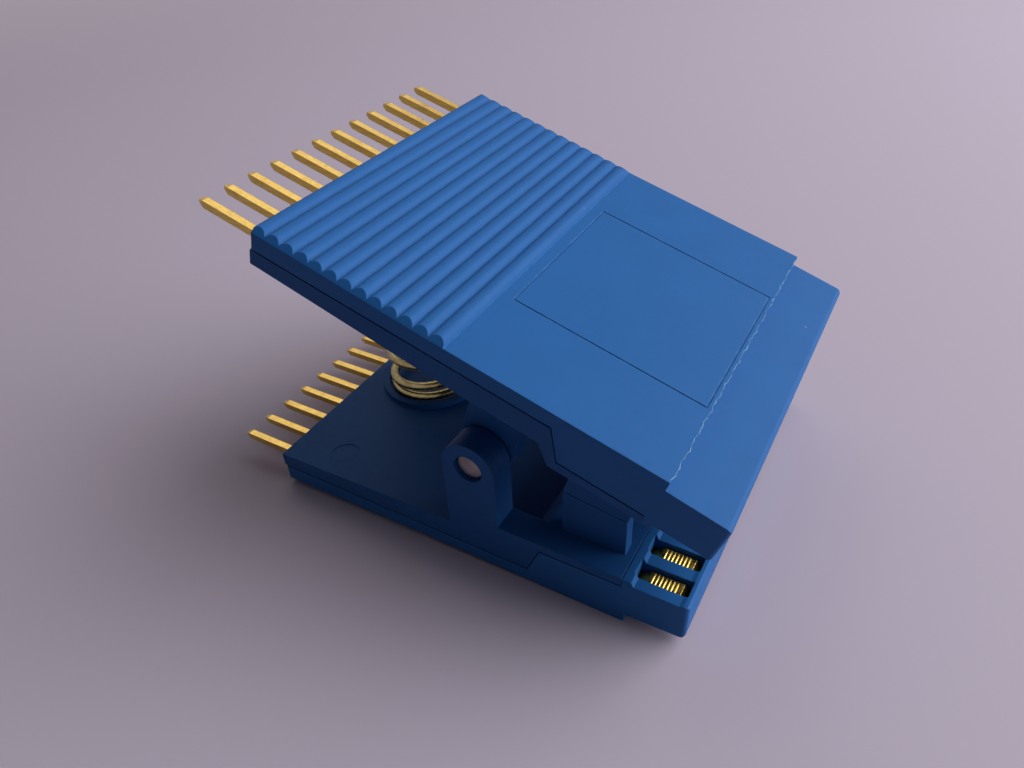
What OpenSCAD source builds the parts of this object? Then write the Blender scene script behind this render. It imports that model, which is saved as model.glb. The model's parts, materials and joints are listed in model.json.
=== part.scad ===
// Test clip for a dual in-line package: two alike jaws that turn on one pin and are
// held shut at the nose by a coil spring. Each jaw is an outer cover and an inner plate
// with a row of contacts between them, from square posts at the grip to the nose.
//
// Jaw frame, in millimetres: X from the grip edge (0) to the nose, Y across from the
// middle, Z from the flat outer face (0) to the inside. The lower jaw lies on its last
// grip rib and on the edge of its nose step. The upper jaw is the same jaw turned over.
// Part frame: +X to the nose, +Z up, origin under the middle of the clip's box.

/* [Contacts] */
// Contacts in each jaw
contact_n = 12; // [8:1:20]
// Distance from one contact to the next
contact_pitch = 2.54; // [2.3:0.02:3]
// Distance from the last contact's middle to the side of the jaw
contact_margin = 1.73; // [1.6:0.01:3]
// Side of a square post
post_w = 0.635; // [0.55:0.005:0.7]
// Length of a post outside the grip edge
post_len = 6.6; // [3:0.1:10]
// Length of a post's tapered tip
post_tip_len = 0.5; // [0.3:0.05:1]
// Width of the post's very end
post_tip_w = 0.3; // [0.15:0.05:0.4]
// Width of the contact blade inside the jaw
blade_w = 1.2; // [0.8:0.05:1.4]
// Thickness of the contact blade
blade_t = 0.3; // [0.2:0.01:0.3]
// Length of the post that is held inside the jaw, up to the blade's shoulder
post_held = 2.5; // [1.5:0.1:4]
// Height of the gripping face over the flat outer face
face_z = 4; // [3.8:0.05:4.2]
// Length of the serrated gripping face
face_len = 2.4; // [1.6:0.1:2.8]
// Distance from one serration to the next
tooth_pitch = 0.3; // [0.2:0.02:0.5]
// Depth of a serration
tooth_h = 0.06; // [0.03:0.01:0.1]
// Play of a contact's faces in its channel
contact_play = 0.02; // [0.01:0.005:0.05]
// Play of a contact blade at each side of its slot
slot_play = 0.15; // [0.08:0.01:0.25]

/* [Cover] */
// Length of the jaw from grip edge to nose tip
jaw_len = 38.5; // [37:0.1:42]
// Length of the stepped nose
nose_len = 4.8; // [4.2:0.1:5.4]
// Depth of the step in the outer face, where the nose starts
step_h = 0.85; // [0.6:0.05:1]
// Further slope of the nose's outer face, over its length
nose_slope_h = 0.15; // [0:0.01:0.3]
// Radius at the bottom edge of the nose tip
nose_edge_r = 0.45; // [0.2:0.05:0.6]
// Height of the joint between cover and plate along the grip
joint_z = 1.3; // [1.1:0.05:1.5]
// Height of that joint near the nose
nose_joint_z = 4; // [3.8:0.05:4.2]
// Where the joint starts to climb
climb_x = 25.4; // [24.6:0.1:26]
// Length of the climb
climb_len = 1.2; // [0.8:0.1:1.4]
// Width and depth of the fine groove along that joint
seam_w = 0.14; // [0.08:0.02:0.24]
// Side of the square panel on the outer face
panel_w = 15.85; // [12:0.05:16.4]
// Width of the line round the panel
panel_line_w = 0.12; // [0.08:0.02:0.3]
// Depth of the line round the panel
panel_line_h = 0.05; // [0.03:0.01:0.1]
// Distance from the panel to the nose step
panel_gap = 0.3; // [0.2:0.05:0.6]

/* [Grip ribs] */
// Length of the ribbed zone from the grip edge
rib_zone = 16.55; // [12:0.05:16.9]
// Distance from one rib to the next
rib_pitch = 1.288; // [1:0.004:1.6]
// Height of a rib
rib_h = 0.42; // [0.3:0.02:0.6]
// How far the ribbed zone rises towards the grip edge
rib_rise = 0.3; // [0:0.05:0.4]
// Inset of a rib's crest at its bevelled ends
rib_bevel = 0.5; // [0.3:0.05:1]

/* [Comb] */
// Thickness of the rail behind the slots
rail_t = 0.6; // [0.5:0.05:0.8]
// Thickness of the lip in front of the slots
lip_t = 0.45; // [0.35:0.05:0.6]
// Length of a slot from rail to lip
slot_len = 4.05; // [3.8:0.05:4.2]
// Drop from the rail to the tops of the separators
separator_drop = 0.4; // [0.3:0.05:0.5]
// Drop from the rail to the top of the lip
lip_drop = 0.3; // [0.2:0.05:0.5]
// Thickness of the nose under the slots
nose_floor = 0.9; // [0.7:0.05:1]
// Thickness of the rail over the contacts
rail_bar_t = 1.1; // [0.9:0.05:1.2]

/* [Plate] */
// Thickness of the plate at the grip edge
plate_t = 1.35; // [1.2:0.05:1.6]
// Thickness of the plate at the hinge
plate_mid_t = 1.9; // [1.7:0.05:2.1]
// Thickness of the plate's flange near the nose
flange_t = 0.8; // [0.6:0.05:1]
// How far the plate stands proud of the cover at the grip edge
plate_proud = 0.18; // [0.05:0.01:0.3]
// Radius of the round marks left by the mould's ejector pins
mark_r = 1.3; // [0.8:0.1:1.6]
// Depth of those marks
mark_h = 0.06; // [0.03:0.01:0.1]

/* [Hinge] */
// Distance from the grip edge to the pin
hinge_x = 20.65; // [20:0.05:21.2]
// Height of the pin over the flat outer face
hinge_z = 10.1; // [9.8:0.05:10.8]
// Angle between the jaws at rest
rest_angle = 17; // [15:0.5:18]
// Diameter of the pin
pin_d = 2.38; // [2:0.02:2.8]
// Running clearance of the pin, on the radius
pin_play = 0.04; // [0.02:0.01:0.08]
// How far each end of the pin lies inside the jaw's side
pin_recess = 0.4; // [0.1:0.05:0.8]
// Length of the pin's swollen end, which holds it in the lower jaw
pin_grip_len = 1.6; // [1:0.1:1.8]
// Wall of an ear round the pin
ear_wall = 1.1; // [0.9:0.05:1.3]
// Thickness of an ear
ear_t = 2.4; // [2.2:0.05:3]
// Gap between the ears of the two jaws
ear_gap = 0.2; // [0.1:0.05:0.4]

/* [Stop fins] */
// Thickness of a fin
fin_t = 1.2; // [0.8:0.05:1.6]
// Distance from the jaw's side to a fin
fin_inset = 2.2; // [1.8:0.05:3]
// Distance from the grip edge to a fin
fin_x = 27.5; // [26.8:0.1:28.5]
// Length of a fin
fin_len = 5.2; // [4:0.1:5.4]
// Gap between the fins of the two jaws when the nose is shut
stop_gap = 0.06; // [0.04:0.01:0.2]

/* [Spring] */
// Distance from the grip edge to the spring
spring_x = 6.1; // [5.8:0.1:8]
// Outer diameter of the coil
coil_d = 8.6; // [7:0.1:9.4]
// Diameter of the wire
wire_d = 0.85; // [0.6:0.05:1]
// Turns of the coil, with one closed turn at each end
coil_turns = 8.5; // [6:0.25:9]
// Wall of the round seat that holds each end of the coil
seat_wall = 0.65; // [0.5:0.05:0.9]
// Height of that seat
seat_h = 0.5; // [0.4:0.05:0.8]
// Play of the coil in its seat, on the radius
seat_play = 0.2; // [0.1:0.05:0.4]

/* [Hidden] */
// Finish colours
BLUE = [0.13, 0.36, 0.66];
PLATE_BLUE = [0.11, 0.31, 0.58];
GOLD = [0.83, 0.66, 0.27];
STEEL = [0.68, 0.66, 0.64];
WIRE = [0.66, 0.6, 0.38];

// Facets of a full circle, and sides and steps of the spring's wire
ROUND = 64;
WIRE_SIDES = 8;
WIRE_STEPS = 18;
// A cut reaches this far past the face that it opens
PAST = 1;

// Jaw, across
jaw_w = (contact_n - 1) * contact_pitch + 2 * contact_margin;
half_w = jaw_w / 2;
function contact_y(i) = (i - (contact_n - 1) / 2) * contact_pitch;

// Nose and comb, along and up
step_x = jaw_len - nose_len;
slot_x1 = jaw_len - lip_t;
slot_x0 = slot_x1 - slot_len;
rail_x = slot_x0 - rail_t;
rail_z = nose_joint_z + flange_t;
separator_z = rail_z - separator_drop;
lip_z = rail_z - lip_drop;
bar_z = rail_z - rail_bar_t;
slot_floor_z = step_h + nose_slope_h + nose_floor;
slot_w = blade_w + 2 * slot_play;
rail_chamfer = 0.3;
corner_r = 0.35;
panel_x = step_x - panel_gap - panel_w;

// Plate: inner face from the grip edge to the hinge, and its own climb
plate_z0 = joint_z + plate_t;
plate_z1 = joint_z + plate_mid_t;
plate_x1 = hinge_x - 2.65;
plate_gap = 0.05;
plate_climb_x = climb_x - 0.5;
plate_slope = atan((plate_z1 - plate_z0) / (plate_x1 + plate_proud));
function plate_z(x) = plate_z0 + (x + plate_proud) * tan(plate_slope);

// Grip ribs: circles whose crests stand rib_h proud of a plane that rises to the grip
rib_n = ceil(rib_zone / rib_pitch);
rib_slope = atan(rib_rise / rib_zone);
rib_valley_h = 0.05;
rib_half = rib_pitch / 2;
rib_r = (pow(rib_half, 2) + pow(rib_h, 2) - pow(rib_valley_h, 2))
        / (2 * (rib_h - rib_valley_h));
function rib_centre(i) =
  let (along = (i + 0.5) * rib_pitch, deep = rib_r - rib_h)
  [rib_zone - along * cos(rib_slope) - deep * sin(rib_slope),
   deep * cos(rib_slope) - along * sin(rib_slope)];

// Contact blade: heights of its middle in the channel and at the gripping face
channel_z = joint_z - blade_t - 2 * contact_play;
blade_z = channel_z + contact_play + blade_t / 2;
post_slot_w = post_w + 2 * contact_play;
shoulder_x = post_held + contact_play;
ramp_x = climb_x + climb_len + 0.4;
face_x = slot_x0 + 0.95;
face_mid_z = face_z - blade_t / 2;
tip_drop = 0.6;
tip_run = 0.4;

// Hinge, fins and bisector plane between the jaws at rest
ear_r = pin_d / 2 + ear_wall;
bore_r = pin_d / 2 + pin_play;
pin_len = jaw_w - 2 * pin_recess;
pin_chamfer = 0.15;
function bisector_z(x) = hinge_z - (x - hinge_x) * tan(rest_angle / 2);

// Spring seat
seat_r = coil_d / 2 + seat_play;
seat_out_r = seat_r + seat_wall;

// Turns p = [x, z] about Y, so that X goes down by angle a
function turned(p, a) = [p[0] * cos(a) + p[1] * sin(a), p[1] * cos(a) - p[0] * sin(a)];

// Tilt of the lower jaw as it lies on a rib and on the step's edge
function tilt_on(i) =
  let (c = rib_centre(i), run = step_x - c[0])
  asin(rib_r / norm([run, c[1]])) - atan2(c[1], run);
tilt = max([for (i = [0:rib_n - 1]) tilt_on(i)]);

// Places of a jaw's point p = [x, z] in the part frame, before it is centred
function lower_at(p) = turned([p[0] - step_x, p[1]], tilt);
function upper_at(p) =
  let (about = turned([p[0] - hinge_x, hinge_z - p[1]], rest_angle))
  lower_at([hinge_x + about[0], hinge_z + about[1]]);

post_end = [[-post_len, joint_z - post_tip_w / 2], [-post_len, joint_z + post_tip_w / 2]];
nose_round = [for (a = [0:5:90])
  [jaw_len - nose_edge_r * (1 - cos(a)),
   step_h + nose_slope_h + nose_edge_r * (1 - sin(a))]];
x_low = min([for (p = post_end) min(lower_at(p)[0], upper_at(p)[0])]);
x_high = max([for (p = nose_round) max(lower_at(p)[0], upper_at(p)[0])]);
x_mid = (x_low + x_high) / 2;

function two_digits(i) = i < 10 ? str("0", i) : str(i);
function contact_name(i) = str("contact_", two_digits(i));

// Places what is drawn in the jaw frame as part of the lower or the upper jaw
module on_lower() {
  translate([-x_mid, 0, 0]) rotate([0, tilt, 0]) translate([-step_x, 0, 0]) children();
}
module on_upper() {
  on_lower() translate([hinge_x, 0, hinge_z]) rotate([0, rest_angle, 0]) rotate([180, 0, 0])
    translate([-hinge_x, 0, -hinge_z]) children();
}

// Extrudes an outline drawn as [x, z] across the jaw, from y0 to y1
module across(y0, y1) {
  translate([0, y1, 0]) rotate([90, 0, 0]) linear_extrude(y1 - y0) children();
}

// Line of the joint between cover and plate, drawn as a band of width w
module joint_band(w) {
  polygon([
    [-PAST, joint_z + w / 2], [climb_x - w / 4, joint_z + w / 2],
    [climb_x + climb_len - w / 4, nose_joint_z + w / 2], [rail_x, nose_joint_z + w / 2],
    [rail_x, nose_joint_z - w / 2], [climb_x + climb_len + w / 4, nose_joint_z - w / 2],
    [climb_x + w / 4, joint_z - w / 2], [-PAST, joint_z - w / 2]]);
}

// Fine groove along the joint on both sides of the jaw
module seam_grooves() {
  for (side = [-1, 1])
    translate([0, side * half_w, 0])
      across(-seam_w, seam_w) joint_band(seam_w);
}

// Side outline of the cover, with its ribs and the comb's separators
module cover_outline() {
  nose_z = step_h + nose_slope_h;
  intersection() {
    union() {
      polygon([
        [0, -rib_rise], [rib_zone, 0], [step_x, 0], [step_x, step_h],
        [jaw_len - nose_edge_r, nose_z],
        for (a = [80:-20:0])
          [jaw_len - nose_edge_r * (1 - cos(a)), nose_z + nose_edge_r * (1 - sin(a))],
        [jaw_len, lip_z - lip_t / 2], [jaw_len - lip_t / 3, lip_z], [slot_x1, lip_z],
        [slot_x1 - rail_chamfer, separator_z], [slot_x0 + rail_chamfer, separator_z],
        [slot_x0 + rail_chamfer / 3, rail_z], [rail_x, rail_z], [rail_x, nose_joint_z],
        [climb_x + climb_len, nose_joint_z], [climb_x, joint_z], [0, joint_z]]);
      for (i = [0:rib_n - 1])
        translate(rib_centre(i)) circle(r = rib_r, $fn = ROUND);
    }
    translate([0, -2 * rib_r]) square([jaw_len, rail_z + 2 * rib_r]);
  }
}

// Bevels that run along both sides of the ribbed zone
module rib_bevels() {
  rise = (rib_h + rib_valley_h) / rib_bevel;
  for (side = [-1, 1])
    translate([rib_zone, 0, 0]) rotate([0, -rib_slope, 0]) rotate([90, 0, -90])
      linear_extrude(rib_zone + PAST)
        polygon([
          [side * (half_w + PAST), rib_valley_h + rise * PAST],
          [side * (half_w + PAST), -2 * rib_h],
          [side * (half_w - (2 * rib_h + rib_valley_h) / rise), -2 * rib_h]]);
}

// Channel of one contact: post groove, blade channel, window under the rail, open slot
module contact_channel() {
  translate([-PAST, -post_slot_w / 2, joint_z - post_slot_w / 2])
    cube([PAST + shoulder_x + contact_play, post_slot_w, post_slot_w]);
  across(-slot_w / 2, slot_w / 2)
    polygon([
      [post_held, channel_z], [ramp_x, channel_z], [slot_x0, slot_floor_z],
      [slot_x1, slot_floor_z], [slot_x1, rail_z + PAST], [slot_x0, rail_z + PAST],
      [slot_x0, bar_z], [rail_x - rail_chamfer, bar_z],
      [rail_x - rail_chamfer, rail_z + PAST], [post_held, rail_z + PAST]]);
}

// Line round the square panel on the outer face
module panel_line() {
  translate([panel_x, -panel_w / 2, -PAST])
    linear_extrude(PAST + panel_line_h)
      difference() {
        square(panel_w);
        translate([panel_line_w, panel_line_w]) square(panel_w - 2 * panel_line_w);
      }
}

// Rounds the two upright corners of the nose
module nose_corners() {
  for (side = [-1, 1])
    translate([jaw_len - corner_r, side * (half_w - corner_r), -PAST])
      difference() {
        translate([0, side > 0 ? 0 : -corner_r - PAST, 0])
          cube([corner_r + PAST, corner_r + PAST, rail_z + 2 * PAST]);
        translate([0, 0, -PAST]) cylinder(r = corner_r, h = rail_z + 4 * PAST, $fn = ROUND);
      }
}

module cover() {
  difference() {
    across(-half_w, half_w) cover_outline();
    for (i = [0:contact_n - 1]) translate([0, contact_y(i), 0]) contact_channel();
    rib_bevels();
    panel_line();
    nose_corners();
    seam_grooves();
  }
}

// Side outline of the plate
module plate_outline() {
  polygon([
    [-plate_proud, joint_z], [climb_x, joint_z], [climb_x + climb_len, nose_joint_z],
    [rail_x - plate_gap, nose_joint_z], [rail_x - plate_gap, rail_z],
    [plate_climb_x + climb_len, rail_z], [plate_climb_x, plate_z1],
    [plate_x1, plate_z1], [-plate_proud, plate_z0]]);
}

// Ear with a full round end, on the plate from y0 to y1
module ear(y0) {
  across(y0, y0 + ear_t) {
    translate([hinge_x, hinge_z]) circle(r = ear_r, $fn = ROUND);
    translate([hinge_x - ear_r, joint_z + plate_t / 2])
      square([2 * ear_r, hinge_z - joint_z - plate_t / 2]);
  }
}

// Thick root that runs from the outer ear to the plate's climb
module ear_root() {
  across(-half_w, -half_w + ear_t)
    polygon([
      [hinge_x, plate_z0], [climb_x, plate_z0], [climb_x + climb_len, nose_joint_z],
      [climb_x + climb_len, rail_z], [hinge_x, rail_z]]);
}

// Fins that meet those of the other jaw and stop the nose from closing further
module stop_fins() {
  for (side = [-1, 1])
    translate([0, side * (half_w - fin_inset - fin_t / 2), 0])
      across(-fin_t / 2, fin_t / 2)
        polygon([
          [fin_x, rail_z - flange_t / 2], [fin_x + fin_len, rail_z - flange_t / 2],
          [fin_x + fin_len, bisector_z(fin_x + fin_len) - stop_gap / 2],
          [fin_x, bisector_z(fin_x) - stop_gap / 2]]);
}

// Places what is drawn on the plate's inner face at x, y
module on_plate(x, y) {
  translate([x, y, plate_z(x)]) rotate([0, -plate_slope, 0]) children();
}

// Round wall that keeps the end of the coil in place
module spring_seat() {
  on_plate(spring_x, 0)
    difference() {
      translate([0, 0, -plate_t / 2]) cylinder(r = seat_out_r, h = seat_h + plate_t / 2, $fn = ROUND);
      cylinder(r = seat_r, h = seat_h + PAST, $fn = ROUND);
    }
}

module ejector_marks() {
  for (side = [-1, 1])
    on_plate(seat_out_r, side * (half_w - 2 * mark_r))
      translate([0, 0, -mark_h]) cylinder(r = mark_r, h = mark_h + PAST, $fn = ROUND);
}

module plate() {
  difference() {
    union() {
      across(-half_w, half_w) plate_outline();
      ear(-half_w);
      ear(half_w - 2 * ear_t - ear_gap);
      ear_root();
      stop_fins();
      spring_seat();
    }
    translate([hinge_x, 0, hinge_z]) rotate([90, 0, 0])
      cylinder(r = bore_r, h = jaw_w + PAST, center = true, $fn = ROUND);
    for (i = [0:contact_n - 1])
      translate([-PAST, contact_y(i) - post_slot_w / 2, joint_z - post_slot_w / 2])
        cube([PAST + shoulder_x + contact_play, post_slot_w, post_slot_w]);
    ejector_marks();
    seam_grooves();
  }
}

// Points at distance d to the left of a path of [x, z] points, mitred at its bends
function beside(path, d) = [for (i = [0:len(path) - 1])
  let (
    before = path[max(i, 1)] - path[max(i, 1) - 1],
    after = path[min(i + 1, len(path) - 1)] - path[min(i + 1, len(path) - 1) - 1],
    u = before / norm(before), v = after / norm(after),
    bend = u + v)
  path[i] + 2 * d / (bend * bend) * [-bend[1], bend[0]]];

// Side outline of one contact: post, blade in the channel, ramp, serrated face and tip
module contact_outline() {
  path = [
    [shoulder_x, blade_z], [ramp_x, blade_z], [slot_x0, bar_z - 0.2 - blade_t],
    [face_x, face_mid_z], [face_x + face_len, face_mid_z],
    [face_x + face_len + tip_run, face_mid_z - tip_drop]];
  top = beside(path, blade_t / 2);
  low = beside(path, -blade_t / 2);
  face_end = face_x + face_len - tooth_pitch / 2;
  polygon(concat(
    [[-post_len + post_tip_len, joint_z - post_w / 2], [-post_len, joint_z - post_tip_w / 2],
     [-post_len, joint_z + post_tip_w / 2], [-post_len + post_tip_len, joint_z + post_w / 2],
     [shoulder_x - post_w, joint_z + post_w / 2]],
    [for (i = [0:3]) top[i]],
    [for (x = [face_x + tooth_pitch:tooth_pitch:face_end]) for (i = [-1:1])
      [x + i * tooth_pitch / 4, face_z - (i == 0 ? tooth_h : 0)]],
    [top[4], top[5]],
    [for (i = [5:-1:0]) low[i]],
    [[shoulder_x, joint_z - post_w / 2]]));
}

// Plan of one contact: post with its taper, and the wider blade from the shoulder on
module contact_plan() {
  polygon([
    [-post_len, -post_tip_w / 2], [-post_len + post_tip_len, -post_w / 2],
    [shoulder_x, -post_w / 2], [shoulder_x, -blade_w / 2], [jaw_len, -blade_w / 2],
    [jaw_len, blade_w / 2], [shoulder_x, blade_w / 2], [shoulder_x, post_w / 2],
    [-post_len + post_tip_len, post_w / 2], [-post_len, post_tip_w / 2]]);
}

module contact() {
  intersection() {
    across(-blade_w, blade_w) contact_outline();
    linear_extrude(rail_z) contact_plan();
  }
}

// Coil between the two seats: its closed end turns lie flat on the plates, and between
// them its middle line is an arc
coil_r = (coil_d - wire_d) / 2;
coil_start = 215;
wire_lift = 0.51 * wire_d;
closed_pitch = 1.03 * wire_d;
coil_end_h = wire_lift + closed_pitch;
spring_lean = rest_angle / 2 + plate_slope;
spring_foot = turned([spring_x - hinge_x, plate_z(spring_x) - hinge_z], -rest_angle / 2);
arc_foot = spring_foot + coil_end_h * [-sin(spring_lean), cos(spring_lean)];
arc_r = -arc_foot[1] / sin(spring_lean);
arc_len = 2 * arc_r * spring_lean * PI / 180;
spring_len = arc_len + 2 * coil_end_h;
open_pitch = arc_len / (coil_turns - 2);

// Height of the wire's middle along the middle line after t turns
function coil_h(t) = wire_lift + closed_pitch * (min(t, 1) + max(t - coil_turns + 1, 0))
  + open_pitch * max(min(t, coil_turns - 1) - 1, 0);

// A point of the wire's skin: t turns along the coil, at angle a round the wire
function coil_point(t, a) =
  let (
    arc_h = max(0, min(coil_h(t) - coil_end_h, arc_len)),
    lean = (2 * arc_h / arc_len - 1) * spring_lean,
    out = coil_r + wire_d / 2 * cos(a),
    turn = coil_start + 360 * t,
    x = out * cos(turn) * cos(lean) + wire_d / 2 * sin(a) * sin(lean),
    z = wire_d / 2 * sin(a) * cos(lean) - out * cos(turn) * sin(lean),
    mid = [arc_foot[0] - arc_r * (cos(lean) - cos(spring_lean)), arc_r * sin(lean)]
      + (coil_h(t) - coil_end_h - arc_h) * [sin(lean), cos(lean)],
    p = turned(mid + [x, z], rest_angle / 2))
  [hinge_x + p[0], out * sin(turn), hinge_z + p[1]];

module spring_wire() {
  last = ceil(coil_turns * WIRE_STEPS);
  points = [for (k = [0:last]) for (j = [0:WIRE_SIDES - 1])
    coil_point(k * coil_turns / last, j * 360 / WIRE_SIDES)];
  skin = [for (k = [0:last - 1]) for (j = [0:WIRE_SIDES - 1])
    let (a = k * WIRE_SIDES + j, b = k * WIRE_SIDES + (j + 1) % WIRE_SIDES)
    for (half = [0:1])
      half == 0 ? [a, a + WIRE_SIDES, b] : [b, a + WIRE_SIDES, b + WIRE_SIDES]];
  ends = [
    [for (j = [0:WIRE_SIDES - 1]) j],
    [for (j = [WIRE_SIDES - 1:-1:0]) last * WIRE_SIDES + j]];
  polyhedron(points = points, faces = concat(skin, ends));
}

module lower_cover() { color(BLUE) on_lower() cover(); }
module lower_plate() { color(PLATE_BLUE) on_lower() plate(); }
module upper_cover() { color(BLUE) on_upper() cover(); }
module upper_plate() { color(PLATE_BLUE) on_upper() plate(); }

// Contacts 1 to contact_n are in the lower jaw, the others in the upper one
module clip_contact(i) {
  color(GOLD)
    if (i <= contact_n) on_lower() translate([0, contact_y(i - 1), 0]) contact();
    else on_upper() translate([0, contact_y(i - 1 - contact_n), 0]) contact();
}

// Pin through all four ears, with a swollen end that is tight in the lower outer ear
module hinge_pin() {
  end_y = -pin_len / 2;
  grip_y = end_y + pin_recess;
  color(STEEL) on_lower() translate([hinge_x, 0, hinge_z]) rotate([-90, 0, 0])
    rotate_extrude($fn = ROUND)
      polygon([
        [0, end_y], [pin_d / 2 - pin_chamfer, end_y], [pin_d / 2, end_y + pin_chamfer],
        [pin_d / 2, grip_y - pin_chamfer], [bore_r, grip_y],
        [bore_r, grip_y + pin_grip_len - pin_chamfer], [pin_d / 2, grip_y + pin_grip_len],
        [pin_d / 2, -end_y - pin_chamfer], [pin_d / 2 - pin_chamfer, -end_y], [0, -end_y]]);
}

module spring() { color(WIRE) on_lower() spring_wire(); }

lower_cover();
lower_plate();
upper_cover();
upper_plate();
hinge_pin();
spring();
for (i = [1:2 * contact_n])
  clip_contact(i);
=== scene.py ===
import json
from math import cos, pi, radians, sin

import bpy
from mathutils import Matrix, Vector


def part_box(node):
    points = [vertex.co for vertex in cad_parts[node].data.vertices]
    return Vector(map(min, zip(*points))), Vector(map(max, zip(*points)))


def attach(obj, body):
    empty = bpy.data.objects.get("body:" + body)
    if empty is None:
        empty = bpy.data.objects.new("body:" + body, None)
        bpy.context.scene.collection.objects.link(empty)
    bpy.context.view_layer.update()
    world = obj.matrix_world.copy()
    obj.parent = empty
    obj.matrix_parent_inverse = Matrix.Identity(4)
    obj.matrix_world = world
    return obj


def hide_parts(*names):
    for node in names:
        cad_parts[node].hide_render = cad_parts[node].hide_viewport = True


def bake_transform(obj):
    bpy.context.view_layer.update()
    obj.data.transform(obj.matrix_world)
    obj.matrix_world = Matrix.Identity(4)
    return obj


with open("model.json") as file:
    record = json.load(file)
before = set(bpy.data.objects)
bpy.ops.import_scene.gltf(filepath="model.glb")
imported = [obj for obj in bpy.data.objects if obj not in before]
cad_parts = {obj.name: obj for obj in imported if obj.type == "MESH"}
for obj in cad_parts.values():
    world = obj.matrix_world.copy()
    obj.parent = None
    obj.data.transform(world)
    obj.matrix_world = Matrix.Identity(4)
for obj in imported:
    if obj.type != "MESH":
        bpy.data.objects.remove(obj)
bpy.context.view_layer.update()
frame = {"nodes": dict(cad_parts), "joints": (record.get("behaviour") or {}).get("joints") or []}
nodes = frame["nodes"]


# ---------------------------------------------------------------------------
# The two jaws: each is an outer cover and an inner plate, moulded in deep blue nylon
# with a satin skin. The plate's colour is a darker copy of the cover's, as painted shade.
# The cover carries the grip ribs and the nose comb. The plate is bonded into it and
# carries the ears, fins and spring seat.
# ---------------------------------------------------------------------------

mould_edge_r = 0.00011
skin_grain_h = 0.00002
dust_pale = (0.34, 0.45, 0.58, 1)


def new_material(name):
    """An empty node material, with its tree and its shader."""
    made = bpy.data.materials.new(name)
    made.use_nodes = True
    tree = made.node_tree
    return made, tree, tree.nodes["Principled BSDF"]


def add_node(tree, kind, **values):
    """A node of that kind, with its properties or its named inputs set."""
    made = tree.nodes.new(kind)
    for key, value in values.items():
        if hasattr(made, key):
            setattr(made, key, value)
        else:
            made.inputs[key.replace("_", " ")].default_value = value
    return made


def noise_at(tree, place, scale, detail, roughness=0.5):
    """Noise in the piece's own place, as many grains per metre as scale says."""
    made = add_node(tree, "ShaderNodeTexNoise", Scale=scale, Detail=detail, Roughness=roughness)
    tree.links.new(place, made.inputs["Vector"])
    return made.outputs["Fac"]


def ramp(tree, value, stops):
    """A colour ramp over a value: stops are (position, grey level or colour)."""
    made = add_node(tree, "ShaderNodeValToRGB")
    bar = made.color_ramp.elements
    while len(bar) < len(stops):
        bar.new(0.5)
    for element, (position, colour) in zip(bar, stops):
        element.position = position
        element.color = colour if isinstance(colour, tuple) else (colour, colour, colour, 1)
    tree.links.new(value, made.inputs["Fac"])
    return made.outputs["Color"]


def blended(tree, kind, factor, first, second):
    """Two colours mixed in that way, by a factor that is a number or a socket."""
    made = add_node(tree, "ShaderNodeMix", data_type="RGBA", blend_type=kind)
    for socket, value in ((0, factor), (6, first), (7, second)):
        if isinstance(value, bpy.types.NodeSocket):
            tree.links.new(value, made.inputs[socket])
        else:
            made.inputs[socket].default_value = value
    return made.outputs[2]


def moulded_blue(name, base, worn):
    """Satin moulded nylon: a faint cloud in the colour, a fine spark-eroded grain in the
    skin, edges that the mould has left soft, and pale dust and scuffs."""
    made, tree, shader = new_material(name)
    place = add_node(tree, "ShaderNodeTexCoord").outputs["Object"]
    cloud = ramp(tree, noise_at(tree, place, 260, 4), [(0.3, 0.0), (0.7, 1.0)])
    body = blended(tree, "MIX", cloud, tuple(0.97 * c for c in base) + (1,),
                   tuple(1.03 * c for c in base) + (1,))

    soft = add_node(tree, "ShaderNodeBevel", samples=6, Radius=mould_edge_r)
    solid = add_node(tree, "ShaderNodeNewGeometry")
    apart = add_node(tree, "ShaderNodeVectorMath", operation="DOT_PRODUCT")
    tree.links.new(soft.outputs["Normal"], apart.inputs[0])
    tree.links.new(solid.outputs["Normal"], apart.inputs[1])
    edge = ramp(tree, apart.outputs["Value"], [(0.82, 1.0), (0.985, 0.0)])
    patchy = ramp(tree, noise_at(tree, place, 900, 3), [(0.42, 0.0), (0.62, 1.0)])
    wear = blended(tree, "MULTIPLY", 1.0, edge, patchy)
    body = blended(tree, "MIX", wear, body, tuple(worn) + (1,))

    specks = add_node(tree, "ShaderNodeTexVoronoi", feature="F1", Scale=620, Randomness=1.0)
    tree.links.new(place, specks.inputs["Vector"])
    near = ramp(tree, specks.outputs["Distance"], [(0.045, 1.0), (0.085, 0.0)])
    rare = ramp(tree, specks.outputs["Color"], [(0.9, 0.0), (0.93, 1.0)])
    dust = blended(tree, "MULTIPLY", 1.0, near, rare)
    body = blended(tree, "MIX", dust, body, dust_pale)
    tree.links.new(body, shader.inputs["Base Color"])

    skin = ramp(tree, noise_at(tree, place, 1500, 5, 0.6), [(0.3, 0.46), (0.7, 0.56)])
    tree.links.new(skin, shader.inputs["Roughness"])
    shader.inputs["Specular IOR Level"].default_value = 0.12
    grain = add_node(tree, "ShaderNodeBump", Strength=0.1, Distance=skin_grain_h)
    tree.links.new(noise_at(tree, place, 9000, 3, 0.65), grain.inputs["Height"])
    tree.links.new(soft.outputs["Normal"], grain.inputs["Normal"])
    tree.links.new(grain.outputs["Normal"], shader.inputs["Normal"])
    return made


def dress(piece, finish):
    """The piece shows that finish and no other."""
    piece.data.materials.clear()
    piece.data.materials.append(finish)


cover_blue = moulded_blue("cover_blue", base=(0.016, 0.103, 0.305), worn=(0.05, 0.18, 0.42))
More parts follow.
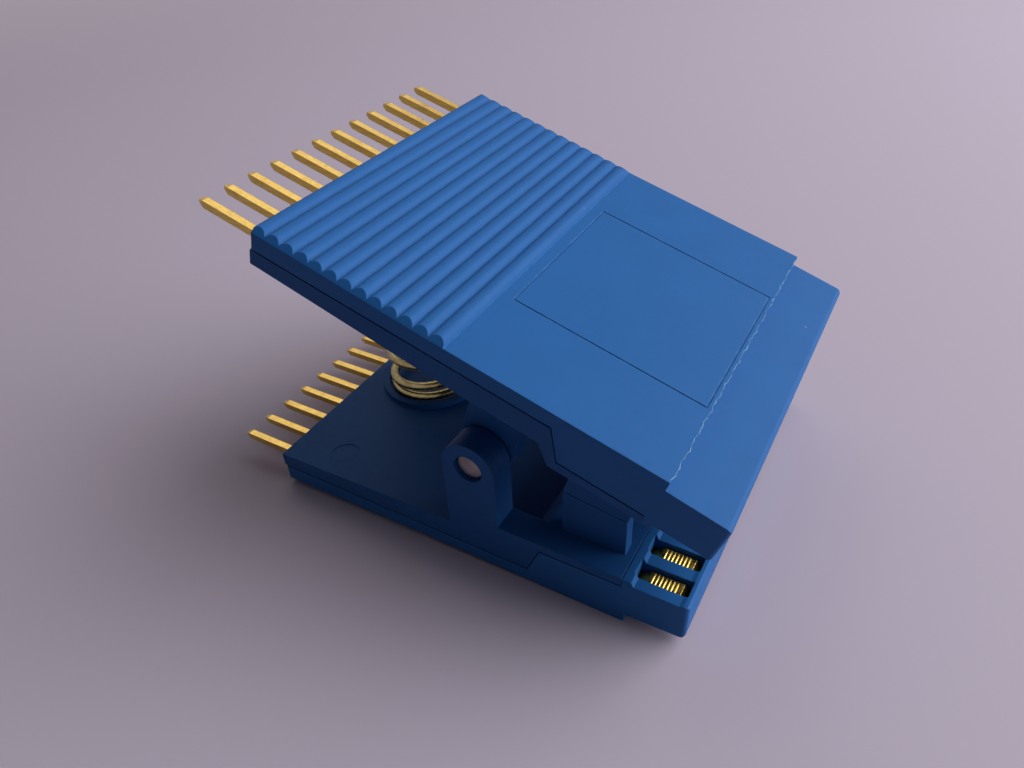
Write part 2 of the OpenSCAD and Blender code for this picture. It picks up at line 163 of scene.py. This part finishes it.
# The plate's blue is the cover's nylon made darker as painted shade, not a colour of its own.
plate_blue_painted_shade = moulded_blue("plate_blue_painted_shade", base=(0.012, 0.076, 0.24), worn=(0.035, 0.13, 0.31))
for jaw in ("lower", "upper"):
    dress(nodes[jaw + "_cover"], cover_blue)
    dress(nodes[jaw + "_plate"], plate_blue_painted_shade)


# ---------------------------------------------------------------------------
# The contacts: square posts drawn from hard brass and flattened into blades, gold
# plated. The drawing leaves fine streaks along each post, and the plating is thin
# and duller where sockets have rubbed it.
# ---------------------------------------------------------------------------

gold_deep = (0.62, 0.42, 0.09, 1)
gold_bright = (0.86, 0.62, 0.18, 1)
gold_tarnish = (0.42, 0.24, 0.05, 1)
streak_stretch = (0.03, 1, 1)
streak_h = 0.00001
post_edge_r = 0.00006

contact_gold, tree, shader = new_material("contact_gold")
place = add_node(tree, "ShaderNodeTexCoord").outputs["Object"]
along_post = add_node(tree, "ShaderNodeMapping")
along_post.inputs["Scale"].default_value = streak_stretch
tree.links.new(place, along_post.inputs["Vector"])
streaks = noise_at(tree, along_post.outputs["Vector"], 9000, 4, 0.6)
tone = ramp(tree, streaks, [(0.3, gold_deep), (0.72, gold_bright)])
tarnish = ramp(tree, noise_at(tree, place, 700, 4), [(0.55, 0.0), (0.85, 0.7)])
tone = blended(tree, "MIX", tarnish, tone, gold_tarnish)
tree.links.new(tone, shader.inputs["Base Color"])
shader.inputs["Metallic"].default_value = 1.0
rough = ramp(tree, noise_at(tree, place, 1600, 4), [(0.3, 0.24), (0.7, 0.42)])
tree.links.new(rough, shader.inputs["Roughness"])
soft = add_node(tree, "ShaderNodeBevel", samples=6, Radius=post_edge_r)
drawn = add_node(tree, "ShaderNodeBump", Strength=0.12, Distance=streak_h)
tree.links.new(streaks, drawn.inputs["Height"])
tree.links.new(soft.outputs["Normal"], drawn.inputs["Normal"])
tree.links.new(drawn.outputs["Normal"], shader.inputs["Normal"])
for name, node in nodes.items():
    if name.startswith("contact_"):
        dress(node, contact_gold)


# ---------------------------------------------------------------------------
# The hinge pin: ground steel rod pushed through all four ears. Its cut ends show in
# the sides of the jaws, with the rings of the cut-off tool.
# ---------------------------------------------------------------------------

# The two steel greys carry a pink tint: a painted reflection of the pale pink floor.
steel_dark_pink_reflection = (0.27, 0.235, 0.235, 1)
steel_bright_pink_reflection = (0.40, 0.355, 0.35, 1)
cut_ring_h = 0.00002

pin_steel, tree, shader = new_material("pin_steel")
place = add_node(tree, "ShaderNodeTexCoord").outputs["Object"]
tone = ramp(tree, noise_at(tree, place, 1400, 4), [(0.35, steel_dark_pink_reflection), (0.65, steel_bright_pink_reflection)])
tree.links.new(tone, shader.inputs["Base Color"])
shader.inputs["Metallic"].default_value = 0.9
shader.inputs["Roughness"].default_value = 0.38
pin_low, pin_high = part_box("hinge_pin")
pin_middle = (pin_low + pin_high) / 2
centred = add_node(tree, "ShaderNodeMapping")
centred.inputs["Location"].default_value = -pin_middle
tree.links.new(place, centred.inputs["Vector"])
rings = add_node(tree, "ShaderNodeTexWave", wave_type="RINGS", rings_direction="Y",
                 Scale=2600, Distortion=1.5)
tree.links.new(centred.outputs["Vector"], rings.inputs["Vector"])
cut = add_node(tree, "ShaderNodeBump", Strength=0.25, Distance=cut_ring_h)
tree.links.new(rings.outputs["Fac"], cut.inputs["Height"])
tree.links.new(cut.outputs["Normal"], shader.inputs["Normal"])
dress(nodes["hinge_pin"], pin_steel)


# ---------------------------------------------------------------------------
# The spring: yellow-plated steel wire coiled with its two end turns closed, sitting
# in the round seats of both plates. It bows a little, because the plates it stands
# on aren't parallel.
# ---------------------------------------------------------------------------

plating_dull = (0.36, 0.30, 0.12, 1)
plating_bright = (0.52, 0.45, 0.21, 1)

spring_wire, tree, shader = new_material("spring_wire")
place = add_node(tree, "ShaderNodeTexCoord").outputs["Object"]
tone = ramp(tree, noise_at(tree, place, 1100, 4), [(0.35, plating_dull), (0.68, plating_bright)])
tree.links.new(tone, shader.inputs["Base Color"])
shader.inputs["Metallic"].default_value = 1.0
rough = ramp(tree, noise_at(tree, place, 2600, 3), [(0.3, 0.2), (0.7, 0.36)])
tree.links.new(rough, shader.inputs["Roughness"])

hinge = Vector(frame["joints"][0]["pos_m"])
jaw_tilt = radians(1.39012)
jaws_apart = radians(17)
face_slope = radians(1.7328)
wire_r = 0.000425
coil_r = 0.003875
coil_turns = 8.5
coil_start = radians(215)
foot_along = -0.01455
foot_up = -0.00726
closed_pitch = 1.03 * 2 * wire_r
seat_lift = 1.02 * wire_r
lean_end = jaws_apart / 2 + face_slope


def turned(along, up, angle):
    """A place beside the hinge, turned so that the nose goes down by the angle."""
    return along * cos(angle) + up * sin(angle), up * cos(angle) - along * sin(angle)


foot_x, foot_z = turned(foot_along, foot_up, -jaws_apart / 2)
flat_h = seat_lift + closed_pitch
bow_x = foot_x - flat_h * sin(lean_end)
bow_z = foot_z + flat_h * cos(lean_end)
bow_r = -bow_z / sin(lean_end)
bow_len = 2 * bow_r * lean_end


def coil_middle(turns, out):
    """A point at that many turns along the coil, as far out from its middle line."""
    open_turns = max(min(turns, coil_turns - 1) - 1, 0)
    height = seat_lift + closed_pitch * (min(turns, 1) + max(turns - coil_turns + 1, 0))
    height += bow_len * open_turns / (coil_turns - 2)
    in_bow = max(0, min(height - flat_h, bow_len))
    lean = (2 * in_bow / bow_len - 1) * lean_end
    beyond = height - flat_h - in_bow
    turn = coil_start + 2 * pi * turns
    x = bow_x - bow_r * (cos(lean) - cos(lean_end)) + beyond * sin(lean) + out * cos(turn) * cos(lean)
    z = bow_r * sin(lean) + beyond * cos(lean) - out * cos(turn) * sin(lean)
    x, z = turned(x, z, jaws_apart / 2 + jaw_tilt)
    return hinge + Vector((x, out * sin(turn), z))


def round_wire(name, radius, roundness, spans):
    """A curve with a round section and capped ends, and its one line of points."""
    wire = bpy.data.curves.new(name, "CURVE")
    wire.dimensions = "3D"
    wire.bevel_depth = radius
    wire.bevel_resolution = roundness
    wire.use_fill_caps = True
    line = wire.splines.new("POLY")
    line.points.add(spans)
    return wire, line


def as_mesh(wire):
    """The curve made a mesh object of the same name, which is then the active one."""
    made = bpy.data.objects.new(wire.name, wire)
    bpy.context.scene.collection.objects.link(made)
    bpy.ops.object.select_all(action="DESELECT")
    made.select_set(True)
    bpy.context.view_layer.objects.active = made
    bpy.ops.object.convert(target="MESH")
    return bpy.context.object


turn_steps = 36
wire, line = round_wire("coil_spring", wire_r, 3, int(coil_turns * turn_steps))
for i, point in enumerate(line.points):
    point.co = (*coil_middle(i / turn_steps, coil_r), 1)
coil = as_mesh(wire)
bpy.ops.object.mode_set(mode="EDIT")
bpy.ops.mesh.select_all(action="SELECT")
bpy.ops.mesh.remove_doubles(threshold=0.000001)
bpy.ops.mesh.normals_make_consistent(inside=False)
bpy.ops.object.mode_set(mode="OBJECT")
bpy.ops.object.shade_smooth_by_angle(angle=radians(50))
dress(coil, spring_wire)
seat_low = coil_middle(0, 0)
seat_high = coil_middle(coil_turns, 0)
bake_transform(coil)
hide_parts("spring")


# ---------------------------------------------------------------------------
# The flash along the nose step of the upper cover: where two plates of the mould
# met, a hair of plastic has squeezed out. The ridge is real; its colour, paler than the
# face in patches, is a painted highlight along the step edge.
# ---------------------------------------------------------------------------

# The flash's pale colour is a painted highlight, not a colour of the nylon.
flash_deep = (0.025, 0.13, 0.33, 1)
flash_pale_highlight = (0.13, 0.30, 0.44, 1)

flash_blue, tree, shader = new_material("flash_blue")
place = add_node(tree, "ShaderNodeTexCoord").outputs["Object"]
tone = ramp(tree, noise_at(tree, place, 1900, 3), [(0.4, flash_deep), (0.62, flash_pale_highlight)])
tree.links.new(tone, shader.inputs["Base Color"])
shader.inputs["Roughness"].default_value = 0.5

step_along = 0.01305
step_up = 0.01008
edge_x, edge_z = turned(step_along, step_up, jaws_apart + jaw_tilt)
end_gap = 0.0001
half_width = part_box("upper_cover")[1].y - end_gap
flash_r = 0.00005
flash_spans = 240
stray_most = 0.00005
stray_waves = ((1.0, 2900, 0), (0.7, 7100, 1), (0.5, 17300, 2))
ridge, line = round_wire("step_flash", flash_r, 1, flash_spans)
for i, point in enumerate(line.points):
    across = half_width * (2 * i / flash_spans - 1)
    stray = stray_most * sum(height * sin(across * rate + start) for height, rate, start in stray_waves)
    point.co = (*(hinge + Vector((edge_x + stray, across, edge_z - 0.3 * stray))), 1)
    point.radius = 0.75 + 0.45 * sin(across * 4300) * sin(across * 1700 + 0.6)
flash = as_mesh(ridge)
dress(flash, flash_blue)
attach(flash, "upper_jaw")


# ---------------------------------------------------------------------------
# The stage: a plain pale floor that fades into an even haze, which shows behind the
# clip and in its gloss but doesn't light it. Two windows, a room lamp and a weak sky
# light it, and the camera looks down on the ribs and the comb.
# ---------------------------------------------------------------------------

far_haze = (0.43, 0.385, 0.44, 1)
fade_from = 0.17
fade_to = 0.5


def seen_rays(tree):
    """1 for rays from the eye, from a mirror or through glass, and 0 for those that light the clip."""
    path = add_node(tree, "ShaderNodeLightPath")
    glossy = add_node(tree, "ShaderNodeMath", operation="MAXIMUM")
    tree.links.new(path.outputs["Is Camera Ray"], glossy.inputs[0])
    tree.links.new(path.outputs["Is Glossy Ray"], glossy.inputs[1])
    both = add_node(tree, "ShaderNodeMath", operation="MAXIMUM")
    tree.links.new(glossy.outputs[0], both.inputs[0])
    tree.links.new(path.outputs["Is Transmission Ray"], both.inputs[1])
    return both.outputs[0]


bpy.ops.object.select_all(action="DESELECT")
bpy.ops.mesh.primitive_plane_add(size=6, location=(0, 0, 0))
floor = bpy.context.object
floor.name = "floor"
floor_paint, tree, shader = new_material("floor_paint")
shader.inputs["Base Color"].default_value = (0.46, 0.385, 0.46, 1)
shader.inputs["Roughness"].default_value = 0.85
place = add_node(tree, "ShaderNodeTexCoord").outputs["Object"]
distance = add_node(tree, "ShaderNodeVectorMath", operation="LENGTH")
tree.links.new(place, distance.inputs[0])
far = ramp(tree, distance.outputs["Value"], [(fade_from, 0.0), (fade_to, 1.0)])
fade = add_node(tree, "ShaderNodeMath", operation="MULTIPLY")
tree.links.new(far, fade.inputs[0])
tree.links.new(seen_rays(tree), fade.inputs[1])
glow = add_node(tree, "ShaderNodeEmission", Color=far_haze, Strength=1.0)
either = add_node(tree, "ShaderNodeMixShader")
tree.links.new(fade.outputs[0], either.inputs[0])
tree.links.new(shader.outputs[0], either.inputs[1])
tree.links.new(glow.outputs[0], either.inputs[2])
tree.links.new(either.outputs[0], tree.nodes["Material Output"].inputs["Surface"])
floor.data.materials.append(floor_paint)

world = bpy.data.worlds.new("room")
world.use_nodes = True
bpy.context.scene.world = world
tree = world.node_tree
sky = tree.nodes["Background"]
sky.inputs["Color"].default_value = (0.86, 0.9, 1.0, 1)
sky.inputs["Strength"].default_value = 0.09
haze = add_node(tree, "ShaderNodeBackground", Color=far_haze, Strength=1.0)
seen = seen_rays(tree)
either = add_node(tree, "ShaderNodeMixShader")
tree.links.new(seen, either.inputs[0])
tree.links.new(sky.outputs[0], either.inputs[1])
tree.links.new(haze.outputs[0], either.inputs[2])
tree.links.new(either.outputs[0], tree.nodes["World Output"].inputs["Surface"])


def window_light(name, size, energy, place, aim, colour):
    """A rectangular area light at a place, aimed at a point."""
    lamp = bpy.data.lights.new(name, "AREA")
    lamp.shape = "RECTANGLE"
    lamp.size, lamp.size_y = size
    lamp.energy = energy
    lamp.color = colour
    made = bpy.data.objects.new(name, lamp)
    made.location = place
    made.rotation_euler = (Vector(aim) - Vector(place)).to_track_quat("-Z", "Y").to_euler()
    bpy.context.scene.collection.objects.link(made)


daylight = (0.92, 0.96, 1.0)
lamplight = (1.0, 0.96, 0.92)
clip_middle = (0, 0, 0.01)
clip_nose = (0.02, 0, 0.008)
window_light("window", (0.6, 0.5), 4.1, (0.36, 0.26, 0.40), clip_middle, daylight)
window_light("low_window", (0.3, 0.12), 0.75, (0.36, 0.14, 0.075), clip_nose, daylight)
window_light("room_fill", (0.4, 0.4), 0.45, (-0.25, 0.25, 0.45), clip_middle, lamplight)

eye = bpy.data.cameras.new("camera")
eye.lens = 27.24
eye.sensor_width = 36
eye.clip_start = 0.002
eye.clip_end = 20
camera = bpy.data.objects.new("camera", eye)
camera.location = (0.02989, -0.04911, 0.05060)
camera.rotation_euler = (radians(52.317), radians(3.660), radians(29.852))
bpy.context.scene.collection.objects.link(camera)
bpy.context.scene.camera = camera
bpy.context.scene.view_settings.view_transform = "Standard"
